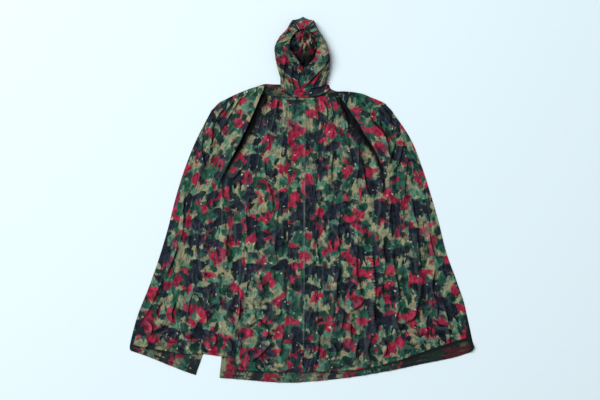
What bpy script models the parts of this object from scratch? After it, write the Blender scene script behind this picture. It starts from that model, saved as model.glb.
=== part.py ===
"""Hooded rain cape lying face up, its layers on each other.

Every piece of cloth is a wall of one thickness.  X runs across the cape, Y from
the hem to the hood, and Z up from the surface that the back panel lies on.  The
origin is under the middle of the cape.  Tables are in millimetres.
"""

from collections import namedtuple

import bmesh
import bpy
import numpy as np
from mathutils import Vector

MM = 0.001
WALL = 1.5
GAP = 0.3
LAYER = WALL + GAP

ROWS = 34
HEM_ROWS = 4
RIDGE_TAPER = 0.22
SHARP_EDGE_DEGREES = 50

# How a front lies: its height over the back, and the share of that height and
# of the ridges that is left at its shoulder, its hem and under the placket.  The
# softness and the reaches are shares of its width and of its length.
FRONT_LOFT = 2.5
EDGE_SOFTNESS = 0.16
SHOULDER_LOOSENESS = 0.25
SHOULDER_REACH = 0.05
HEM_LOOSENESS = 0.4
HEM_REACH = 0.04
FLY_LOOSENESS = 0.45

# The big fold: its width towards the side, the column where it has its whole
# height, and the share of its lean that the cloth under it takes.
FOLD_OUTER_WIDTH = 70
FOLD_FIRST_COLUMN = 4
FOLD_TUCK = 0.6

# One row for each section across a front, from the shoulder down to the hem.
# edge: side of the cape.  fold: crest of the big shoulder fold, with its rise
# and how far it leans over the middle.  fly: edge of the placket.
FrontSection = namedtuple(
    "FrontSection", "edge_x edge_y fold_x fold_y rise lean fall fly_x fly_y"
)
LEFT_SECTIONS = (
    FrontSection(-380, 375, -170, 482, 20, 16, 24, -61, 432),
    FrontSection(-443, 252, -230, 337, 22, 14, 24, -61, 288),
    FrontSection(-493, 128, -298, 196, 18, 11, 24, -60, 144),
    FrontSection(-531, 5, -362, 55, 12, 5, 30, -59, -1),
    FrontSection(-562, -118, -392, -86, 7, 0, 45, -59, -146),
    FrontSection(-599, -242, -420, -227, 5, 0, 55, -59, -290),
    FrontSection(-642, -365, -446, -368, 5, 0, 55, -66, -434),
    FrontSection(-691, -489, -470, -509, 5, 0, 55, -77, -579),
    FrontSection(-722, -607, -492, -647, 5, 0, 50, -80, -723),
)
RIGHT_SECTIONS = (
    FrontSection(376, 375, 168, 446, 18, 16, 24, 69, 436),
    FrontSection(455, 256, 264, 307, 24, 20, 26, 69, 291),
    FrontSection(503, 137, 336, 167, 18, 12, 26, 66, 146),
    FrontSection(541, 18, 364, 28, 12, 5, 32, 55, 1),
    FrontSection(575, -102, 376, -111, 8, 0, 45, 53, -144),
    FrontSection(605, -221, 388, -250, 6, 0, 55, 60, -289),
    FrontSection(648, -341, 400, -389, 5, 0, 55, 66, -434),
    FrontSection(686, -460, 412, -529, 5, 0, 55, 62, -578),
    FrontSection(690, -580, 425, -668, 5, 0, 50, 54, -722),
)
CENTRE_TOP = (14, 431)
CENTRE_HEM = (6, -726)

Point = namedtuple("Point", "x y")
Seat = namedtuple("Seat", "x y z")
LEFT_SHOULDER = (Point(-346, 408), Point(-313, 425), Point(-279, 442), Point(-237, 459))
RIGHT_SHOULDER = (Point(359, 392), Point(342, 408), Point(296, 427), Point(238, 448))
LEFT_NECK = (Point(-160, 441), Point(-110, 436))
RIGHT_NECK = (Point(156, 431), Point(110, 432))
LEFT_HEM = (Point(-640, -625), Point(-565, -637))
RIGHT_HEM = (Point(645, -594), Point(580, -614), Point(498, -642))
LEFT_INNER_HEM = (
    Point(-418, -647),
    Point(-334, -658),
    Point(-294, -658),
    Point(-262, -714),
    Point(-180, -720),
)
RIGHT_INNER_HEM = (Point(310, -700), Point(204, -716), Point(120, -721))

OUTER_COLUMNS = (0, 0.1, 0.21, 0.32, 0.43, 0.54, 0.64, 0.73, 0.81, 0.88, 0.94, 1)
INNER_COLUMNS = (0.06, 0.12, 0.19, 0.28, 0.37, 0.46, 0.55, 0.64, 0.73, 0.82, 0.91, 1)
FLY_COLUMNS = (0.35, 0.7, 1)

# A soft ridge from one point to another.  bow: how far its middle stands off
# the straight line, to the left of the way it runs.
Ridge = namedtuple("Ridge", "from_x from_y to_x to_y bow width rise")
RIDGES = (
    Ridge(-205, 175, -305, 60, 8, 20, 9),
    Ridge(-371, 350, -385, 170, -6, 22, 7),
    Ridge(-417, 215, -440, -40, 6, 24, 8),
    Ridge(-455, 30, -520, -330, -8, 26, 8),
    Ridge(-489, -75, -607, -423, 10, 24, 9),
    Ridge(-330, 10, -345, -330, 8, 26, 7),
    Ridge(-250, 20, -262, -300, -8, 24, 6),
    Ridge(-154, 330, -150, 60, 6, 22, 5),
    Ridge(-121, 60, -112, -260, 5, 22, 6),
    Ridge(-174, -220, -215, -460, 8, 24, 7),
    Ridge(-130, -330, -140, -690, 6, 22, 7),
    Ridge(-300, -380, -290, -650, -12, 22, 11),
    Ridge(-395, -420, -400, -650, 8, 24, 7),
    Ridge(-560, -430, -640, -600, 6, 24, 8),
    Ridge(-505, -480, -540, -630, 6, 22, 7),
    Ridge(351, 275, 380, 110, -10, 18, 10),
    Ridge(239, 250, 231, 80, 6, 20, 8),
    Ridge(275, 160, 300, -60, -6, 20, 8),
    Ridge(410, 250, 452, 20, 8, 22, 9),
    Ridge(120, 230, 118, 40, 4, 20, 7),
    Ridge(170, 110, 176, -200, -6, 22, 7),
    Ridge(250, -60, 232, -290, 8, 22, 9),
    Ridge(310, -80, 330, -380, -8, 22, 8),
    Ridge(430, -20, 470, -330, 6, 24, 8),
    Ridge(520, -60, 560, -330, -6, 22, 7),
    Ridge(120, -180, 112, -500, 6, 22, 7),
    Ridge(195, -360, 205, -690, -6, 22, 8),
    Ridge(290, -420, 282, -680, 8, 22, 8),
    Ridge(380, -590, 401, -400, 6, 20, 9),
    Ridge(470, -380, 525, -600, -8, 22, 8),
    Ridge(600, -330, 640, -560, 6, 22, 8),
)

# Placket: its top, the share of the centre line where it ends, and its pressed ridge.
FLY_TOP_Y = 417
FLY_TOP_ROW = 1
FLY_END_FRACTION = 0.893
FLY_RIDGE = 3.0

# Back panel below the fronts: its hem runs lower, with the vent left of the middle.
BACK_LEFT_HEM = (Point(-720, -633), Point(-624, -667), Point(-527, -707), Point(-447, -736))
VENT_TIP = Point(-309, -353)
BACK_RIGHT_HEM = (
    Point(-346, -747),
    Point(-200, -759),
    Point(-60, -768),
    Point(90, -758),
    Point(225, -742),
    Point(376, -716),
    Point(500, -690),
    Point(619, -666),
    Point(700, -642),
    Point(722, -621),
)
BACK_NECK = (
    Point(183, 455),
    Point(149, 455),
    Point(130, 460),
    Point(108, 474),
    Point(98, 484),
    Point(-96, 484),
    Point(-152, 486),
)
HEM_TURNING = 19
TURNING_INSET = 0.5

# How many points each line of the back panel's outline has.
SIDE_POINTS = 25
SHOULDER_POINTS = 9
LEFT_HEM_POINTS = 7
RIGHT_HEM_POINTS = 17

# Hood: one row for each section from the neck seam up and over to the forehead.
# seam: middle seam, on the underside up to the tip and then over the crown.
# side: outermost line.  crest: highest line of the lobe.  face: front edge.
# throat: between crest and face, the lower cloth of the neck and then the lobe.
# The underside turns up at a share of the way out to the side, sloping with it.
HoodSection = namedtuple(
    "HoodSection",
    "seam_y seam_z side_x side_y side_z crest_x crest_y crest_z"
    " throat_x throat_y throat_z face_x face_y face_z",
)
LEFT_HOOD = (
    HoodSection(484.3, 0, -90, 489, 5, -80, 466, 7.5, -42, 438, 5, 14, 434, 4),
    HoodSection(524, 0, -95, 522, 12, -77, 506, 23, -34, 492, 11, 12, 488, 6),
    HoodSection(568, 0, -106, 560, 18, -86, 549, 38, -46, 542, 27, -1, 541, 16),
    HoodSection(618, 0, -114, 602, 22, -97, 594, 47, -66, 589, 45, -32, 586, 31),
    HoodSection(668, 0, -115, 640, 23, -100, 633, 50, -79, 631, 50, -58, 629, 41),
    HoodSection(720, 0, -97, 678, 22, -86, 673, 49, -71, 667, 48, -57, 662, 41),
    HoodSection(767, 4, -66, 711, 20, -61, 705, 44, -52, 696, 44, -43, 687, 40),
    HoodSection(758, 24, -30, 744, 26, -27, 730, 37, -23, 716, 39, -20, 704, 37),
    HoodSection(722, 37, 3, 720, 37.2, 4, 718, 37.4, 4.3, 716, 37.4, 4.6, 713, 37),
)
RIGHT_HOOD = (
    HoodSection(484.3, 0, 96, 489, 6, 102, 466, 10, 50, 437, 7, -36, 442, 8.5),
    HoodSection(524, 0, 111, 522, 12, 94, 505, 28, 44, 480, 15, -21, 476, 15),
    HoodSection(568, 0, 119, 560, 18, 100, 548, 41, 62, 531, 37, 8, 530, 25),
    HoodSection(618, 0, 117, 602, 22, 101, 593, 49, 76, 583, 49, 42, 579, 37),
    HoodSection(668, 0, 108, 640, 23, 95, 633, 52, 83, 629, 52, 68, 625, 44),
    HoodSection(720, 0, 92, 678, 22, 83, 673, 52, 75, 667, 50, 66, 661, 44),
    HoodSection(767, 4, 68, 711, 20, 62, 705, 46, 57, 697, 46, 50, 689, 42),
    HoodSection(758, 24, 42, 744, 26, 36, 730, 39, 31, 717, 40, 26, 705, 38),
    HoodSection(722, 37, 7, 720, 37.2, 6, 718, 37.4, 5.7, 716, 37.4, 5.4, 713, 37),
)
HOOD_SEAM_X = 5
HOOD_UNDER_SHARE = 0.74
HOOD_UNDER_SLOPE = 0.65
HOOD_ROWS = 18
HOOD_COLUMNS = 18

# Neck band: a row for each point of its arc, and the shares of its width at
# which its lines run.
BAND_WIDTH = 8
BAND_RISE = 1.2
BAND_POINTS = 15
BAND_LINES = (0.5, 0.2, -0.2, -0.5)
NECK_ARC = (
    Seat(-84, 467, 9.2),
    Seat(-50, 439, 7.2),
    Seat(-20, 435, 8.9),
    Seat(15, 433, 8.6),
    Seat(70, 441, 9.4),
    Seat(116, 466, 9.4),
)


def smooth_line(points, fractions):
    """Points at these fractions of the length of a smooth line through points."""
    points = np.array(points, float)
    ends = np.vstack([2 * points[0] - points[1], points, 2 * points[-1] - points[-2]])
    steps = np.linspace(0, 1, 17)[:-1, None]
    spans = []
    for before, start, end, after in zip(ends, ends[1:], ends[2:], ends[3:]):
        spans.append(
            start
            + steps * (end - before) / 2
            + steps**2 * (before - 2.5 * start + 2 * end - after / 2)
            + steps**3 * (1.5 * (start - end) + (after - before) / 2)
        )
    line = np.vstack(spans + [points[-1:]])
    lengths = np.append(0, np.linalg.norm(np.diff(line, axis=0), axis=1).cumsum())
    wanted = np.asarray(fractions, float) * lengths[-1]
    return np.stack([np.interp(wanted, lengths, axis) for axis in line.T], axis=-1)


def blend(values, fractions):
    """A table column read smoothly at fractions of the way down the table."""
    rows = np.linspace(0, 1, len(values))
    line = smooth_line(np.column_stack([rows, values]), np.linspace(0, 1, 200))
    return np.interp(fractions, line[:, 0], line[:, 1])


def soft_step(value):
    value = np.clip(value, 0, 1)
    return value * value * (3 - 2 * value)


def bay(left, right, top, hem, columns, rows):
    """Plan points between two long lines, bent to the top and hem lines."""
    top = smooth_line([left[0], *top, right[0]], columns)
    hem = smooth_line([left[-1], *hem, right[-1]], columns)
    across = np.asarray(columns, float)[None, :, None]
    down = np.asarray(rows, float)[:, None, None]
    straight = left[:, None] * (1 - across) + right[:, None] * across
    ends = straight[:1] * (1 - down) + straight[-1:] * down
    return straight + top[None] * (1 - down) + hem[None] * down - ends


def row_fractions():
    """Rows from the neck to the hem, with one at each end of the placket."""
    top = (CENTRE_TOP[1] - FLY_TOP_Y) / (CENTRE_TOP[1] - CENTRE_HEM[1])
    body = np.linspace(top, FLY_END_FRACTION, ROWS - HEM_ROWS)
    below = np.linspace(FLY_END_FRACTION, 1, HEM_ROWS + 1)[1:]
    return np.concatenate([[0], body, below])


def directions(surface):
    """The direction square to a grid of points, upward where columns run to +X."""
    down = np.gradient(surface, axis=0)
    across = np.gradient(surface, axis=1)
    square = np.cross(across, -down)
    return square / np.linalg.norm(square, axis=2, keepdims=True)


def ridge_heights(plan):
    """What the soft ridges add to the height at each plan point."""
    height = np.zeros(plan.shape[:2])
    for ridge in RIDGES:
        start = np.array([ridge.from_x, ridge.from_y])
        chord = np.array([ridge.to_x, ridge.to_y]) - start
        length = np.linalg.norm(chord)
        along = (plan - start) @ chord / length**2
        aside = (plan - start) @ np.array([-chord[1], chord[0]]) / length
        bow = ridge.bow * 4 * along * (1 - along)
        ends = soft_step(along / RIDGE_TAPER) * soft_step((1 - along) / RIDGE_TAPER)
        height += ridge.rise * ends * np.exp(-(((aside - bow) / ridge.width) ** 2))
    return height


def front_plan(sections, shoulder, neck, outer_hem, inner_hem, seam_x):
    """Plan points of a front, its columns running from the side to the middle."""
    rows = row_fractions()
    table = np.array(sections, float)
    edge = smooth_line(table[:, 0:2], rows)
    fold = smooth_line(table[:, 2:4], rows)
    fly = smooth_line(table[:, 7:9], rows)
    centre = np.array(CENTRE_TOP) + rows[:, None] * np.subtract(CENTRE_HEM, CENTRE_TOP)
    centre[:, 0] += seam_x
    return np.hstack([
        bay(edge, fold, shoulder, outer_hem, OUTER_COLUMNS, rows),
        bay(fold, fly, neck, inner_hem, (0, *INNER_COLUMNS), rows)[:, 1:],
        bay(fly, centre, (), (), (0, *FLY_COLUMNS), rows)[:, 1:],
    ])


def front_surface(sections, *outline):
    """Underside of a front: its plan, raised by its loft, ridges and big fold."""
    plan = front_plan(sections, *outline)
    rows = row_fractions()
    columns = np.arange(plan.shape[1])
    crest = len(OUTER_COLUMNS) - 1
    fly = crest + len(INNER_COLUMNS)
    outer = columns <= crest

    # The cloth lies close to the back along its side, its shoulder and its hem.
    from_side = soft_step(columns / fly / EDGE_SOFTNESS)
    loose = np.where(columns > fly, FLY_LOOSENESS, from_side)
    top = soft_step(rows / SHOULDER_REACH)
    hem = soft_step((1 - rows) / HEM_REACH)
    top = SHOULDER_LOOSENESS + (1 - SHOULDER_LOOSENESS) * top
    hem = HEM_LOOSENESS + (1 - HEM_LOOSENESS) * hem
    height = (FRONT_LOFT + ridge_heights(plan)) * loose * (top * hem)[:, None]

    # The big fold climbs slowly from the side and drops steeply to the middle.
    rise, lean, fall = (
        blend([getattr(row, field) for row in sections], rows)[:, None]
        for field in ("rise", "lean", "fall")
    )
    away = np.linalg.norm(plan - plan[:, crest : crest + 1], axis=2)
    shape = soft_step(1 - away / np.where(outer, FOLD_OUTER_WIDTH, fall))
    height += rise * shape * np.where(outer, soft_step(columns / FOLD_FIRST_COLUMN), 1)
    to_middle = np.sign(sections[0].fly_x - sections[0].edge_x)
    plan[:, :, 0] += to_middle * lean * shape**2 * np.where(outer, 1, FOLD_TUCK)
    return np.dstack([plan, LAYER + height])


def finish(name, shape, material):
    """The closed shape as an object with its cloth, smooth but for its rims."""
    bmesh.ops.recalc_face_normals(shape, faces=shape.faces)
    mesh = bpy.data.meshes.new(name)
    shape.to_mesh(mesh)
    shape.free()
    mesh.materials.append(material)
    mesh.shade_smooth()
    mesh.set_sharp_from_angle(angle=np.radians(SHARP_EDGE_DEGREES))
    piece = bpy.data.objects.new(name, mesh)
    bpy.context.scene.collection.objects.link(piece)


def thicken(shape, offset_of):
    """Turn open faces into a wall, each point moved out by its own offset."""
    extruded = bmesh.ops.extrude_face_region(shape, geom=shape.faces[:], use_keep_orig=True)
    for part in extruded["geom"]:
        if isinstance(part, bmesh.types.BMVert):
            part.co += offset_of(part)


def sheet(name, surface, offset, material, split="FIXED"):
    """A wall of cloth on a grid of points, with the offset to its other side."""
    rows, columns = surface.shape[:2]
    shape = bmesh.new()
    bmesh.ops.create_grid(shape, x_segments=columns - 1, y_segments=rows - 1, size=1)
    place = shape.verts.layers.int.new("place")
    for vert in shape.verts:
        column = round((vert.co.x + 1) / 2 * (columns - 1))
        row = rows - 1 - round((vert.co.y + 1) / 2 * (rows - 1))
        vert[place] = row * columns + column
        vert.co = surface[row, column] * MM
    bmesh.ops.triangulate(shape, faces=shape.faces, quad_method=split)
    offsets = offset.reshape(-1, 3) * MM
    thicken(shape, lambda vert: Vector(offsets[vert[place]]))
    finish(name, shape, material)


def cloth_material(name, colour, roughness):
    material = bpy.data.materials.new(name)
    material.use_nodes = True
    shader = material.node_tree.nodes["Principled BSDF"]
    shader.inputs["Base Color"].default_value = (*colour, 1)
    shader.inputs["Roughness"].default_value = roughness
    shader.inputs["Metallic"].default_value = 0
    return material


def build_fronts(material):
    """Both fronts. Returns their points and outward directions as one grid."""
    half = GAP / 2
    left = front_surface(
        LEFT_SECTIONS, LEFT_SHOULDER, LEFT_NECK, LEFT_HEM, LEFT_INNER_HEM, -half
    )
    right = front_surface(
        RIGHT_SECTIONS, RIGHT_SHOULDER, RIGHT_NECK, RIGHT_HEM, RIGHT_INNER_HEM, half
    )[:, ::-1]
    both = np.hstack([left, right])
    middle = left.shape[1]

    # Where the fronts meet, their walls stand upright, which keeps them apart.
    outward = directions(both)
    outward[:, middle - 1 : middle + 1, 0] = 0
    outward /= np.linalg.norm(outward, axis=2, keepdims=True)
    sheet("front_left", left, outward[:, :middle] * WALL, material)
    sheet("front_right", right, outward[:, middle:] * WALL, material)
    return np.delete(both, middle, axis=1), np.delete(outward, middle, axis=1)


def build_placket(fronts, outward, material):
    """A double strip on the fronts, made from their points and moved out."""
    first = len(OUTER_COLUMNS) + len(INNER_COLUMNS) - 1
    middle = len(FLY_COLUMNS)
    end = int(np.argmin(abs(row_fractions() - FLY_END_FRACTION))) + 1
    covered = (slice(FLY_TOP_ROW, end), slice(first, first + 2 * middle + 1))
    surface = fronts[covered] + outward[covered] * LAYER
    surface[:, middle, 2] += FLY_RIDGE
    sheet("placket", surface, directions(surface) * WALL, material)


def build_flat_panel(name, outline, material):
    """A flat panel cut to an outline, lying on the ground."""
    shape = bmesh.new()
    corners = [shape.verts.new((x * MM, y * MM, 0)) for x, y in outline]
    edges = [shape.edges.new(pair) for pair in zip(corners, corners[1:] + corners[:1])]
    bmesh.ops.triangle_fill(shape, edges=edges, use_beauty=True, normal=(0, 0, 1))
    thicken(shape, lambda vert: Vector((0, 0, WALL * MM)))
    finish(name, shape, material)


def build_back(material):
    """Back panel, flat on the ground, as wide as the fronts that lie on it."""
    along = np.linspace(0, 1, SIDE_POINTS)
    left = smooth_line([row[0:2] for row in LEFT_SECTIONS], along)[:-1]
    right = smooth_line([row[0:2] for row in RIGHT_SECTIONS], along)[:-1]
    shoulders = np.linspace(0, 1, SHOULDER_POINTS)
    left_fold = LEFT_SECTIONS[0][2:4]
    left_top = smooth_line([left[0], *LEFT_SHOULDER, left_fold], shoulders)[1:]
    right_top = smooth_line([right[0], *RIGHT_SHOULDER], shoulders)[1:]
    left_hem = smooth_line(BACK_LEFT_HEM, np.linspace(0, 1, LEFT_HEM_POINTS))
    right_hem = smooth_line(BACK_RIGHT_HEM, np.linspace(0, 1, RIGHT_HEM_POINTS))
    bottom = [left_hem, [VENT_TIP], right_hem]
    outline = np.vstack([left, *bottom, right[::-1], right_top, BACK_NECK, left_top[::-1]])
    build_flat_panel("back_panel", outline, material)
    for name, hem in (("back_hem_left", left_hem), ("back_hem_right", right_hem)):
        build_turning(name, hem, material)


def build_turning(name, hem, material):
    """Double turned hem, a strip on the back panel along its lower edge."""
    run = np.gradient(hem, axis=0)
    inward = np.column_stack([-run[:, 1], run[:, 0]])
    inward /= np.linalg.norm(inward, axis=1, keepdims=True)
    reaches = (HEM_TURNING, HEM_TURNING / 2, TURNING_INSET)
    plan = np.stack([hem + inward * reach for reach in reaches])
    surface = np.dstack([plan, np.full(plan.shape[:2], LAYER)])
    sheet(name, surface, np.broadcast_to((0, 0, WALL), surface.shape), material)


def build_hood(name, sections, side, material):
    """One half of the hood, from the middle seam round the side to the face."""
    along = np.linspace(0, 1, HOOD_ROWS)
    table = {
        field: blend([getattr(row, field) for row in sections], along)
        for field in HoodSection._fields
    }
    seam_x = np.full(HOOD_ROWS, HOOD_SEAM_X + side * GAP / 2)
    under_x = seam_x + (table["side_x"] - seam_x) * HOOD_UNDER_SHARE
    under_y = table["seam_y"] + (table["side_y"] - table["seam_y"]) * HOOD_UNDER_SLOPE
    lines = (
        (seam_x, table["seam_y"], table["seam_z"]),
        (under_x, under_y, table["seam_z"]),
        (table["side_x"], table["side_y"], table["side_z"]),
        (table["crest_x"], table["crest_y"], table["crest_z"]),
        (table["throat_x"], table["throat_y"], table["throat_z"]),
        (table["face_x"], table["face_y"], table["face_z"]),
    )
    guides = np.stack([np.column_stack(line) for line in lines], axis=1)
    across = np.linspace(0, 1, HOOD_COLUMNS)
    surface = np.stack([smooth_line(row, across) for row in guides])
    surface[:, :, 2] = np.maximum(surface[:, :, 2], 0)
    inward = directions(surface) * -side
    inward[:, 0, 0] = 0
    inward /= np.linalg.norm(inward, axis=2, keepdims=True)
    sheet(name, surface, inward * WALL, material, split="SHORT_EDGE")


def build_neck_band(material):
    """Bound seam between the hood and the body, a narrow arc over both."""
    arc = smooth_line(NECK_ARC, np.linspace(0, 1, BAND_POINTS))
    run = np.gradient(arc, axis=0)
    across = np.column_stack([-run[:, 1], run[:, 0], 0 * run[:, 0]])
    across /= np.linalg.norm(across, axis=1, keepdims=True)
    lines = []
    for share in BAND_LINES:
        line = arc + across * BAND_WIDTH * share
        line[:, 2] += BAND_RISE * (1 - (2 * share) ** 2)
        lines.append(line)
    surface = np.stack(lines)
    sheet("neck_band", surface, directions(surface) * WALL, material)


def build():
    for thing in list(bpy.data.objects):
        bpy.data.objects.remove(thing, do_unlink=True)
    face = cloth_material("printed nylon", (0.07, 0.10, 0.05), 0.45)
    inside = cloth_material("inside of the nylon", (0.05, 0.07, 0.04), 0.55)
    fly = cloth_material("double nylon", (0.07, 0.09, 0.07), 0.42)
    build_back(inside)
    fronts, outward = build_fronts(face)
    build_placket(fronts, outward, fly)
    build_hood("hood_left", LEFT_HOOD, -1, face)
    build_hood("hood_right", RIGHT_HOOD, 1, face)
    build_neck_band(fly)


build()
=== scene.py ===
"""Looks of a hooded rain cape in printed nylon, laid face up on a pale floor.

Every piece of cloth is a thin shell on the form of its solid.  X runs across the
cape, Y from the hem to the hood, and Z up.  Tables are in millimetres.
"""

import bmesh
import bpy
import numpy as np
from mathutils import Matrix, Vector


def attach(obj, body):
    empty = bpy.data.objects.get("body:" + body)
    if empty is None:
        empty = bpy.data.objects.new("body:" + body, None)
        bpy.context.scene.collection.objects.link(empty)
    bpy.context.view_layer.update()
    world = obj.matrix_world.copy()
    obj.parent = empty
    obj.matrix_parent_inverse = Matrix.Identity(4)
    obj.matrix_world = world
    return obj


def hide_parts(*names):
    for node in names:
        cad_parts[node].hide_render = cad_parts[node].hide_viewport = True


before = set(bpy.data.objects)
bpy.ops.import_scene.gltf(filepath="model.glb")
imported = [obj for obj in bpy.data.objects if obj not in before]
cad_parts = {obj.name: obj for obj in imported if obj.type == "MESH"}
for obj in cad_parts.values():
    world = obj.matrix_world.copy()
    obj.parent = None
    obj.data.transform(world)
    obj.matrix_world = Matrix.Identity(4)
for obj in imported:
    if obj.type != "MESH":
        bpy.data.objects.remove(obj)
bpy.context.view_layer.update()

# The walls of the solids, the gap between them, and how thick the cloth is.
MM = 0.001
WALL = 1.5
GAP = 0.3
LAYER = WALL + GAP
CLOTH = 0.8

# ---- sizes

# The grid of each front: its rows, and the steps from its side to its big fold, on
# to the placket, and under that to the middle.
FRONT_ROWS = 262
OUTER_STEPS = 68
INNER_STEPS = 70
FLY_STEPS = 16
FRONT_LENGTH = 1157
FRONT_WIDTH = 620
FOLD_SHARE = 0.45

# How high the cloth lies, and where it lies closer: at side, shoulder, hem, placket.
FRONT_LOFT = 2.5
RIDGE_TAPER = 0.22
RIDGE_SHARE = 0.8
SIDE_REACH = 0.3
SHOULDER_LOOSENESS = 0.25
SHOULDER_REACH = 0.05
HEM_LOOSENESS = 0.4
HEM_REACH = 0.04
FLY_LOOSENESS = 0.45

# The big fold down each front, its hanging lip, and the painted shade in the hollow
# beside the lip.
FOLD_OUTER_WIDTH = 70
FOLD_START = 0.43
LIP_REACH = 60
LIP_PULL = 2.6
LIP_DROP = 0.45
WAVE_HEIGHT = 0.22
WAVE_LENGTH = 70
HOLLOW_SHADE_WIDTH = 0.06
HOLLOW_SHADE_DEPTH = 1.15

# Sections of each front, from the neck to the hem: X and Y of its side and of its
# big fold, how high the fold is, how far it leans and how far it takes to fall, and
# X and Y where the placket starts.
LEFT_SECTIONS = (
    (-380, 375, -170, 482, 20, 16, 24, -61, 432),
    (-443, 252, -230, 337, 22, 14, 24, -61, 288),
    (-493, 128, -298, 196, 18, 11, 24, -60, 144),
    (-531, 5, -362, 55, 12, 5, 30, -59, -1),
    (-562, -118, -392, -86, 7, 0, 45, -59, -146),
    (-599, -242, -420, -227, 5, 0, 55, -59, -290),
    (-642, -365, -446, -368, 5, 0, 55, -66, -434),
    (-691, -489, -470, -509, 5, 0, 55, -77, -579),
    (-722, -607, -492, -647, 5, 0, 50, -80, -723),
)
RIGHT_SECTIONS = (
    (376, 375, 168, 446, 18, 16, 24, 69, 436),
    (455, 256, 264, 307, 24, 20, 26, 69, 291),
    (503, 137, 336, 167, 18, 12, 26, 66, 146),
    (541, 18, 364, 28, 12, 5, 32, 55, 1),
    (575, -102, 376, -111, 8, 0, 45, 53, -144),
    (605, -221, 388, -250, 6, 0, 55, 60, -289),
    (648, -341, 400, -389, 5, 0, 55, 66, -434),
    (686, -460, 412, -529, 5, 0, 55, 62, -578),
    (690, -580, 425, -668, 5, 0, 50, 54, -722),
)
CENTRE_TOP = (14, 431)
CENTRE_HEM = (6, -726)

# Edges of the fronts between their sections.
LEFT_SHOULDER = ((-346, 408), (-313, 425), (-279, 442), (-237, 459))
RIGHT_SHOULDER = ((359, 392), (342, 408), (296, 427), (238, 448))
LEFT_NECK = ((-160, 441), (-110, 436))
RIGHT_NECK = ((156, 431), (110, 432))
LEFT_HEM = ((-640, -625), (-565, -637))
RIGHT_HEM = ((645, -594), (580, -614), (498, -642))
LEFT_INNER_HEM = (
    (-418, -647), (-334, -658), (-294, -658), (-262, -714), (-180, -720)
)
RIGHT_INNER_HEM = ((310, -700), (204, -716), (120, -721))
LEFT_FRONT = (LEFT_SECTIONS, LEFT_SHOULDER, LEFT_NECK, LEFT_HEM, LEFT_INNER_HEM)
RIGHT_FRONT = (RIGHT_SECTIONS, RIGHT_SHOULDER, RIGHT_NECK, RIGHT_HEM, RIGHT_INNER_HEM)

# Random creases of the fronts, from large to small: how high they are, their
# spacing across and along, and how far they slant.
CRUMPLES = (
    (6.5, 58, 310, 0, 0),
    (3.6, 27, 150, 0, 0),
    (2.0, 34, 60, 0.25, -0.3),
    (2.0, 30, 70, -0.3, 0.3),
)

# Soft ridges that the solid has too: X and Y of both ends, bow, width and height.
RIDGES = (
    (-205, 175, -305, 60, 8, 20, 9),
    (-371, 350, -385, 170, -6, 22, 7),
    (-417, 215, -440, -40, 6, 24, 8),
    (-455, 30, -520, -330, -8, 26, 8),
    (-489, -75, -607, -423, 10, 24, 9),
    (-330, 10, -345, -330, 8, 26, 7),
    (-250, 20, -262, -300, -8, 24, 6),
    (-154, 330, -150, 60, 6, 22, 5),
    (-121, 60, -112, -260, 5, 22, 6),
    (-174, -220, -215, -460, 8, 24, 7),
    (-130, -330, -140, -690, 6, 22, 7),
    (-300, -380, -290, -650, -12, 22, 11),
    (-395, -420, -400, -650, 8, 24, 7),
    (-560, -430, -640, -600, 6, 24, 8),
    (-505, -480, -540, -630, 6, 22, 7),
    (351, 275, 380, 110, -10, 18, 10),
    (239, 250, 231, 80, 6, 20, 8),
    (275, 160, 300, -60, -6, 20, 8),
    (410, 250, 452, 20, 8, 22, 9),
    (120, 230, 118, 40, 4, 20, 7),
    (170, 110, 176, -200, -6, 22, 7),
    (250, -60, 232, -290, 8, 22, 9),
    (310, -80, 330, -380, -8, 22, 8),
    (430, -20, 470, -330, 6, 24, 8),
    (520, -60, 560, -330, -6, 22, 7),
    (120, -180, 112, -500, 6, 22, 7),
    (195, -360, 205, -690, -6, 22, 8),
    (290, -420, 282, -680, 8, 22, 8),
    (380, -590, 401, -400, 6, 20, 9),
    (470, -380, 525, -600, -8, 22, 8),
    (600, -330, 640, -560, 6, 22, 8),
)

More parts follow.
